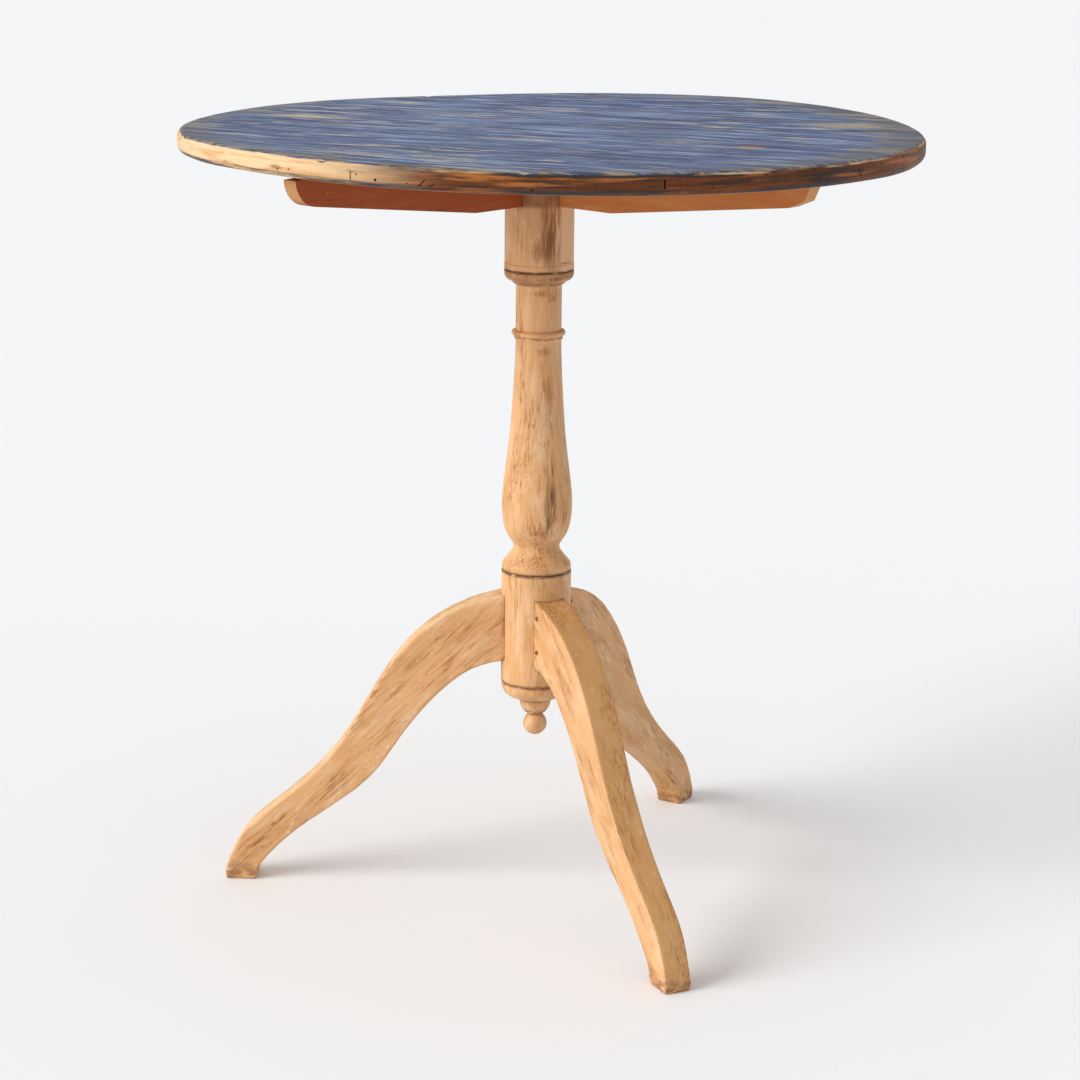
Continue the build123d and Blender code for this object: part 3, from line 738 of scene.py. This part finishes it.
# %% Brown and cream rim
def brown_rim(tree, place, up):
    """The rim: bare and cream on one side, partly as painted light on that side, and brown with gold and
    dark streaks on the rest.
    """
    rim_brown = patches(tree, place, (110, 110, 6), 0.38, 0.62, 0.85, 31.0, 5)
    rim_gold = patches(tree, place, (80, 80, 5), 0.48, 0.64, 0.85, 33.0, 6)
    rim_dark = patches(tree, place, (60, 60, 4), 0.50, 0.62, 0.85, 35.0, 6)
    rim_blue = patches(tree, place, (90, 90, 5), 0.40, 0.56, 0.9, 37.0, 5)
    low_line = ramp(tree, up, -0.12, -0.40, 1.0)
    # Cream and orange on the side towards the light: partly old paint, partly painted light.
    cream_and_lit_side = ramp(tree, reach_towards(tree, place, (-0.96, 0.27, 0)), 0.255, 0.335, 0.95)
    cream_broken = patches(tree, place, (45, 45, 9), 0.26, 0.46, 1.0, 39.0, 5)
    orange = patches(tree, place, (60, 60, 4), 0.46, 0.60, 0.7, 40.0, 6)
    rim_specks = patches(tree, place, (6, 6, 2.4), 0.76, 0.80, 0.8, 41.0, 2)
    rim = coats(tree, "542a10", [
        (rim_brown, "703a15"),
        (rim_gold, "a8642c"),
        (rim_dark, "262220"),
        (both(tree, cream_and_lit_side, cream_broken), "e6c498"),
        (both(tree, cream_and_lit_side, orange), "c88f58"),
        (both(tree, low_line, rim_blue), "2d3338"),
        (rim_specks, "e9e2d4"),
    ])
    return rim, rim_dark


# %% Painted top
def painted_top():
    """Scrubbed blue paint on the face, a browner rim, and bare wood underneath."""
    material, tree, shader = start_finish("scrubbed_blue_paint", 0.6)
    place = own_place(tree)
    normal = add(tree, "ShaderNodeTexCoord").outputs["Normal"]
    up = add(tree, "ShaderNodeSeparateXYZ", None, {0: normal}).outputs[2]
    blue, navy, chalky, bare_lines = scrubbed_blue(tree, place)
    rim, rim_dark = brown_rim(tree, place, up)

    broken_edge = patches(tree, place, (60, 60, 60), 0.3, 0.7, 0.2, 43.0, 4)
    edge = {0: up, 1: broken_edge}
    edge = add(tree, "ShaderNodeMath", {"operation": "SUBTRACT"}, edge).outputs[0]
    on_face = ramp(tree, edge, 0.62, 0.72, 1.0)
    rubbed_places = patches(tree, place, (70, 70, 70), 0.40, 0.56, 0.8, 45.0, 5)
    rubbed = both(tree, ramp(tree, edge, 0.34, 0.50, 1.0), rubbed_places)
    paint_side = ramp(tree, reach_towards(tree, place, (-0.656, -0.755, 0)), 0.328, 0.336, 0.95)
    painted_lip = both(tree, paint_side, ramp(tree, edge, 0.15, 0.40, 1.0))
    below = ramp(tree, up, -0.85, -0.97, 1.0)
    boards = along_grain(tree, (0, 0, 0), boards_turn)
    bare_under = patches(tree, boards, (150, 9, 40), 0.4, 0.65, 0.7, 51.0, 5)
    under = coats(tree, "a9794a", [(bare_under, "8a5d34")])
    colour = coats(tree, rim, [
        (rubbed, "d2b488"),
        (painted_lip, "1d2026"),
        (below, under),
        (on_face, blue),
    ])
    tree.links.new(colour, shader.inputs["Base Color"])
    shader.inputs["Specular IOR Level"].default_value = 0.22
    dull = add(tree, "ShaderNodeMapRange", None, {"Value": chalky, "To Min": 0.5, "To Max": 0.72})
    tree.links.new(dull.outputs[0], shader.inputs["Roughness"])
    relief(tree, shader, [(navy, 0.25), (chalky, -0.15), (bare_lines, 0.2), (rim_dark, 0.25)])
    return material


blue_paint = painted_top()
print("the paint has", len(blue_paint.node_tree.nodes), "nodes")

# %% [markdown]
# ## The round top: shape
# The three boards were glued, sawn round and rounded over at the edge. Since then they have
# cupped: the outer boards have lifted by a few millimetres at their outer edges, so a wedge
# of shadow shows between the top and the end of the cross bearer. A disc lathed from a
# profile gives clean rings to bend, where a boolean of a cylinder would not. The hand-worked
# tree wears it, a second tree scatters worm holes round the rim, and gouges and nail holes
# are cut where the real top has them. Only then is it sawn along the glue joints.

# %% The cupped disc
cup_height = 4.5 * millimetre
board_sag = 1.2 * millimetre
out_of_round = 0.0035   # how far the sawn circle wanders, as a part of its radius
edge_radius = 6 * millimetre
sectors = 640
face_rings = 22
corner_steps = 6
side_rows = 4


def disc_profile():
    """(radius, height) points from the underside's middle round the rim to the top's middle."""
    inner = top_radius - edge_radius
    points = []
    for ring in range(1, face_rings + 1):
        points.append((inner * ring / face_rings, top_underside))
    for step in range(1, corner_steps + 1):
        angle = pi / 2 * step / corner_steps
        points.append((inner + edge_radius * sin(angle), top_underside + edge_radius * (1 - cos(angle))))
    side_low = top_underside + edge_radius
    side_high = top_height - edge_radius
    for row in range(1, side_rows + 1):
        points.append((top_radius, side_low + (side_high - side_low) * row / side_rows))
    for step in range(1, corner_steps + 1):
        angle = pi / 2 * step / corner_steps
        points.append((inner + edge_radius * cos(angle), side_high + edge_radius * sin(angle)))
    for ring in range(face_rings - 1, 0, -1):
        points.append((inner * ring / face_rings, top_height))
    return points


chips = [   # angle round the rim in degrees, how wide and how deep in mm, and how far down it reaches
    (-117.3, 7, 2.2, 2.5),
    (-171.8, 4, 1.8, 2.5),
    (-158.6, 7, 1.4, 2.0),
    (-142.0, 5, 0.9, 3.0),
    (-75.0, 6, 1.2, 3.0),
    (20.0, 8, 1.6, 3.0),
    (64.0, 5, 1.5, 4.0),
    (150.0, 9, 1.3, 3.0),
]


def cupped_and_chipped(radius, height, angle):
    """A point of the disc, bent with its board and chipped at its rim."""
    wander = 1 + out_of_round * noise.noise(Vector((3.1 * cos(angle), 3.1 * sin(angle), 4.0)))
    x = radius * wander * cos(angle)
    y = radius * wander * sin(angle)
    sag = board_sag * noise.noise(Vector((5 * x, 5 * y, 9.0)))
    z = height + cup_height * min(1.0, abs(x) / top_radius) ** 4 + sag * (radius / top_radius)
    for chip_angle, width, depth, reach in chips:
        away = (angle - radians(chip_angle) + pi) % (2 * pi) - pi
        along = away * top_radius / (width * millimetre)
        down = ((radius - top_radius) ** 2 + (height - top_height) ** 2) ** 0.5 / (reach * millimetre)
        bite = depth * millimetre * max(0.0, 1 - along * along - 0.25 * down * down)
        x -= bite * cos(angle)
        y -= bite * sin(angle)
        z -= bite * (1 if height > top_height - edge_radius / 2 else 0)
    return x, y, z


def disc_mesh():
    """The round top as one closed skin, with a fan of triangles at each middle."""
    profile = disc_profile()
    points = [cupped_and_chipped(0, top_underside, 0)]
    for radius, height in profile:
        for sector in range(sectors):
            points.append(cupped_and_chipped(radius, height, 2 * pi * sector / sectors))
    points.append(cupped_and_chipped(0, top_height, 0))
    last = len(points) - 1
    outer_start = last - sectors
    faces = []
    for sector in range(sectors):
        following = (sector + 1) % sectors
        faces.append((0, 1 + following, 1 + sector))
        faces.append((last, outer_start + sector, outer_start + following))
        for row in range(len(profile) - 1):
            low = 1 + row * sectors
            high = low + sectors
            faces.append((low + sector, low + following, high + following, high + sector))
    mesh = bpy.data.meshes.new("round_top")
    mesh.from_pydata(points, [], faces)
    mesh.materials.append(blue_paint)
    return mesh


top_disc = new_piece("round_top_blank", disc_mesh())
run_tree(top_disc, hand_worked, {
    "Wander": 0.8 * millimetre,
    "Wander Size": 60 * millimetre,
    "Dents": 0.3 * millimetre,
    "Dent Size": 7 * millimetre,
    "Seed": 12.0,
    "Flat Below": 0.0,
    "Finish": blue_paint,
})
print("the disc has", len(top_disc.data.polygons), "faces")

# %% [markdown]
# ## Worm holes and gouges
# Furniture beetles leave round exit holes of 1 to 2 mm, mostly in the rim, where the end
# grain is. They repeat and follow a circle, so a Geometry Nodes tree scatters them: each
# point has a random angle and height from a fixed seed, and a small eight-sided cutter
# aimed at the middle of the top. The nail slots and scratches are few and each has its own
# place, so they are a short list. All the cutters are taken out of the disc in one boolean.

# %% A tree that scatters worm holes round the rim
def worm_hole_tree():
    """Small cutters at random angles and heights round a rim."""
    tree = bpy.data.node_groups.new("worm_holes", "GeometryNodeTree")
    face = tree.interface
    face.new_socket("Geometry", in_out="OUTPUT", socket_type="NodeSocketGeometry")
    face.new_socket("Geometry", in_out="INPUT", socket_type="NodeSocketGeometry")
    face.new_socket("Count", in_out="INPUT", socket_type="NodeSocketInt")
    face.new_socket("Seed", in_out="INPUT", socket_type="NodeSocketInt")
    for name in ("Rim Radius", "Low", "High", "Hole Radius", "Depth"):
        face.new_socket(name, in_out="INPUT", socket_type="NodeSocketFloat")
    face.new_socket("Finish", in_out="INPUT", socket_type="NodeSocketMaterial")
    given = add(tree, "NodeGroupInput").outputs
    number = add(tree, "GeometryNodeInputIndex").outputs[0]
    angle = {2: -pi, 3: pi, "ID": number, "Seed": given["Seed"]}
    angle = add(tree, "FunctionNodeRandomValue", {"data_type": "FLOAT"}, angle).outputs[1]
    other = add(tree, "ShaderNodeMath", {"operation": "ADD"}, {0: given["Seed"], 1: 7.0}).outputs[0]
    height = {2: given["Low"], 3: given["High"], "ID": number, "Seed": other}
    height = add(tree, "FunctionNodeRandomValue", {"data_type": "FLOAT"}, height).outputs[1]
    across = add(tree, "ShaderNodeMath", {"operation": "COSINE"}, {0: angle}).outputs[0]
    forward = add(tree, "ShaderNodeMath", {"operation": "SINE"}, {0: angle}).outputs[0]
    outward = add(tree, "ShaderNodeCombineXYZ", None, {0: across, 1: forward}).outputs[0]
    on_rim = {0: outward, "Scale": given["Rim Radius"]}
    on_rim = add(tree, "ShaderNodeVectorMath", {"operation": "SCALE"}, on_rim).outputs[0]
    raised = add(tree, "ShaderNodeCombineXYZ", None, {2: height}).outputs[0]
    place = add(tree, "ShaderNodeVectorMath", {"operation": "ADD"}, {0: on_rim, 1: raised}).outputs[0]
    points = add(tree, "GeometryNodePoints", None, {"Count": given["Count"], "Position": place})
    aim = add(tree, "FunctionNodeAlignRotationToVector", {"axis": "Z"}, {"Vector": outward})
    cutter = {"Vertices": 8, "Radius": given["Hole Radius"], "Depth": given["Depth"]}
    cutter = add(tree, "GeometryNodeMeshCylinder", None, cutter).outputs["Mesh"]
    size = {2: 0.6, 3: 1.2, "ID": number, "Seed": 3}
    size = add(tree, "FunctionNodeRandomValue", {"data_type": "FLOAT"}, size).outputs[1]
    scattered = {"Points": points.outputs[0], "Instance": cutter,
                 "Rotation": aim.outputs[0], "Scale": size}
    scattered = add(tree, "GeometryNodeInstanceOnPoints", None, scattered).outputs[0]
    real = add(tree, "GeometryNodeRealizeInstances", None, {"Geometry": scattered}).outputs[0]
    finish = {"Geometry": real, "Material": given["Finish"]}
    done = add(tree, "GeometryNodeSetMaterial", None, finish).outputs[0]
    add(tree, "NodeGroupOutput", None, {"Geometry": done})
    return tree


worm_cutters = new_piece("worm_cutters", bpy.data.meshes.new("worm_cutters"))
run_tree(worm_cutters, worm_hole_tree(), {
    "Count": 64,
    "Seed": 5,
    "Rim Radius": top_radius,
    "Low": top_underside + edge_radius,
    "High": top_height - edge_radius / 2,
    "Hole Radius": 0.8 * millimetre,
    "Depth": 8 * millimetre,
    "Finish": blue_paint,
})
print("worm holes:", len(worm_cutters.data.polygons) // 10)

# %% Nail slots and scratches
gouges = [   # angle in degrees, height, and width, tallness and depth in mm, and slant in degrees
    (-166.8, 742.5, 1.3, 8.0, 3.0, 0),
    (-162.9, 740.0, 2.2, 2.4, 4.0, 45),
    (-156.0, 739.5, 1.5, 8.0, 1.6, -48),
    (-154.6, 738.0, 1.2, 5.0, 1.2, -70),
    (-122.5, 741.0, 1.5, 8.0, 5.0, 0),
    (-88.3, 739.5, 1.1, 8.5, 1.8, 28),
    (-40.0, 740.0, 1.3, 7.0, 3.0, 0),
    (35.0, 741.0, 1.4, 8.0, 4.0, 0),
    (112.0, 740.5, 1.3, 7.5, 3.0, 6),
]


def gouge_mesh():
    """One closed block for each gouge, set through the rim."""
    shell = bmesh.new()
    for angle, height, width, tall, depth, slant in gouges:
        sized = Matrix.Diagonal((2 * depth * millimetre, width * millimetre, tall * millimetre, 1))
        slanted = Matrix.Rotation(radians(slant), 4, "X")
        out = Matrix.Translation((top_radius, 0, height * millimetre))
        turned = Matrix.Rotation(radians(angle), 4, "Z")
        bmesh.ops.create_cube(shell, size=1.0, matrix=turned @ out @ slanted @ sized)
    mesh = bpy.data.meshes.new("gouges")
    shell.to_mesh(mesh)
    shell.free()
    mesh.materials.append(blue_paint)
    return mesh


gouge_cutters = new_piece("gouge_cutters", gouge_mesh())
for cutters in (worm_cutters, gouge_cutters):
    cut = top_disc.modifiers.new("cut", "BOOLEAN")
    cut.operation = "DIFFERENCE"
    cut.solver = "EXACT"
    cut.object = cutters
bake_modifiers(top_disc)
for cutters in (worm_cutters, gouge_cutters):
    bpy.data.objects.remove(cutters)
print("the cut disc has", len(top_disc.data.polygons), "faces")

# %% Saw it along the glue joints
def sawn_board(name, low_x, high_x):
    """The part of the disc between two joints, with the sawn faces closed."""
    shell = bmesh.new()
    shell.from_mesh(top_disc.data)
    for x, outward in ((low_x, -1), (high_x, 1)):
        if x is None:
            continue
        everything = shell.verts[:] + shell.edges[:] + shell.faces[:]
        cut = bmesh.ops.bisect_plane(shell, geom=everything, plane_co=(x, 0, 0),
                                     plane_no=(outward, 0, 0), clear_outer=True)
        sawn = [part for part in cut["geom_cut"] if isinstance(part, bmesh.types.BMEdge)]
        closed = bmesh.ops.edgeloop_fill(shell, edges=sawn)
        bmesh.ops.triangulate(shell, faces=closed["faces"])
    bmesh.ops.remove_doubles(shell, verts=shell.verts, dist=1e-7)
    bmesh.ops.recalc_face_normals(shell, faces=shell.faces)
    mesh = bpy.data.meshes.new(name)
    shell.to_mesh(mesh)
    open_edges = sum(1 for edge in shell.edges if len(edge.link_faces) != 2)
    shell.free()
    mesh.materials.append(blue_paint)
    for face in mesh.polygons:
        face.use_smooth = True
    mesh.set_sharp_from_angle(angle=radians(35))
    print(name, len(mesh.polygons), "faces,", open_edges, "open edges")
    return new_piece(name, mesh)


board_cuts = {
    "left_board": (None, joint_places[0]),
    "middle_board": joint_places,
    "right_board": (joint_places[1], None),
}
for board, (low_x, high_x) in board_cuts.items():
    piece = sawn_board("worn_" + board, low_x, high_x)
    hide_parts(board)
    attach(piece, "top")
bpy.data.objects.remove(top_disc)

# %% [markdown]
# ## Floor and light
# The table stands on a plain pale floor that runs out of view. A broad soft light on the
# left models the turned column and leaves faint soft shadows, as a large diffuser would,
# and a near-white surround fills the rest. The colour view is the plain one, so that the
# paint and wood keep the colours that they were given.

# %% Floor and light
def pale_floor():
    """A large matt floor with a very faint mottle."""
    material, tree, shader = start_finish("pale_studio_floor", 0.75)
    mottle = patches(tree, along_grain(tree), (900, 900, 900), 0.3, 0.7, 0.5, 1.0)
    tree.links.new(coats(tree, "f5f6f7", [(mottle, "f3f4f5")]), shader.inputs["Base Color"])
    shader.inputs["Specular IOR Level"].default_value = 0.1
    reach = 40
    mesh = bpy.data.meshes.new("floor")
    mesh.from_pydata([(-reach, -reach, 0), (reach, -reach, 0), (reach, reach, 0), (-reach, reach, 0)],
                     [], [(0, 1, 2, 3)])
    mesh.materials.append(material)
    return new_piece("floor", mesh)


def soft_light(name, turn, climb, spread, strength, warmth):
    """A far, broad light from a turn and a climb; its spread makes its shadows soft."""
    lamp = bpy.data.lights.new(name, "SUN")
    lamp.angle = spread
    lamp.energy = strength
    lamp.color = warmth
    light = bpy.data.objects.new(name, lamp)
    toward = Vector((cos(climb) * cos(turn), cos(climb) * sin(turn), sin(climb)))
    light.rotation_euler = toward.to_track_quat("Z", "Y").to_euler()
    scene.collection.objects.link(light)
    return light


pale_floor()
soft_light("left_diffuser", radians(156), radians(27), radians(38), 2.65, (1.0, 0.99, 0.98))
surround = bpy.data.worlds.new("pale_surround")
surround.use_nodes = True
backdrop = surround.node_tree.nodes["Background"]
backdrop.inputs["Color"].default_value = linear("fafbfc")
backdrop.inputs["Strength"].default_value = 0.66
scene.world = surround
scene.view_settings.view_transform = "Standard"
